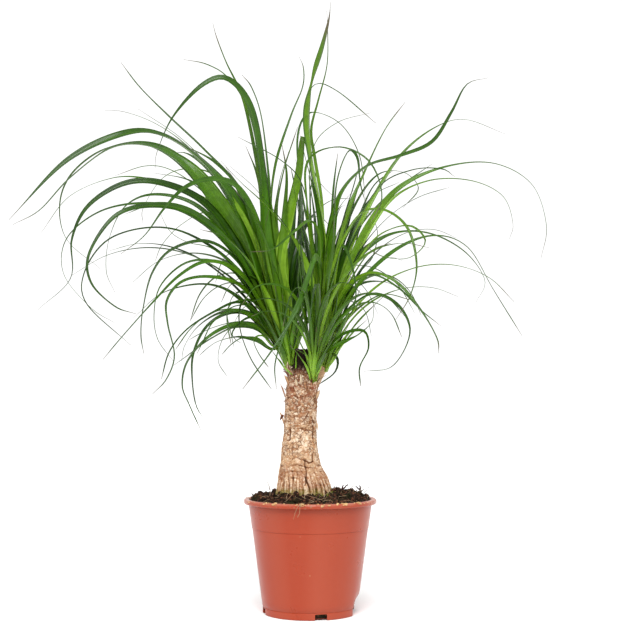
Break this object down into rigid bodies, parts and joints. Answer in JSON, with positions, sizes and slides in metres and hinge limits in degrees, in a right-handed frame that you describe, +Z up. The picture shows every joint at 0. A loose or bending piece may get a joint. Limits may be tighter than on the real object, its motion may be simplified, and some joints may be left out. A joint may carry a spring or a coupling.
{
  "type": "potted ponytail palm",
  "caption": "Potted house plant: a swollen ringed trunk with three arching shoots of long strap leaves, standing in soil in a tapered nursery pot that rests on its flat floor.",
  "frame": {"origin": "centre of the pot's flat underside", "axes": "+Z up along the pot's axis, -Y towards the front of the plant, +X to the right seen from the front"},
  "size_m": [0.555, 0.4333, 0.6159],
  "materials": {
    "pot_plastic": "terracotta orange moulded plastic, semi-matte",
    "potting_soil": "dark brown crumbly potting soil with fibres",
    "bark": "tan and brown bark with leaf scars and flakes",
    "leaf": "mid green leaves, slightly glossy, paler at the base"
  },
  "bodies": {
    "root": {"pot": "pot_plastic", "soil": "potting_soil", "trunk": "bark", "shoot_left": "leaf", "shoot_right": "leaf", "shoot_front": "leaf"}
  },
  "joints": []
}
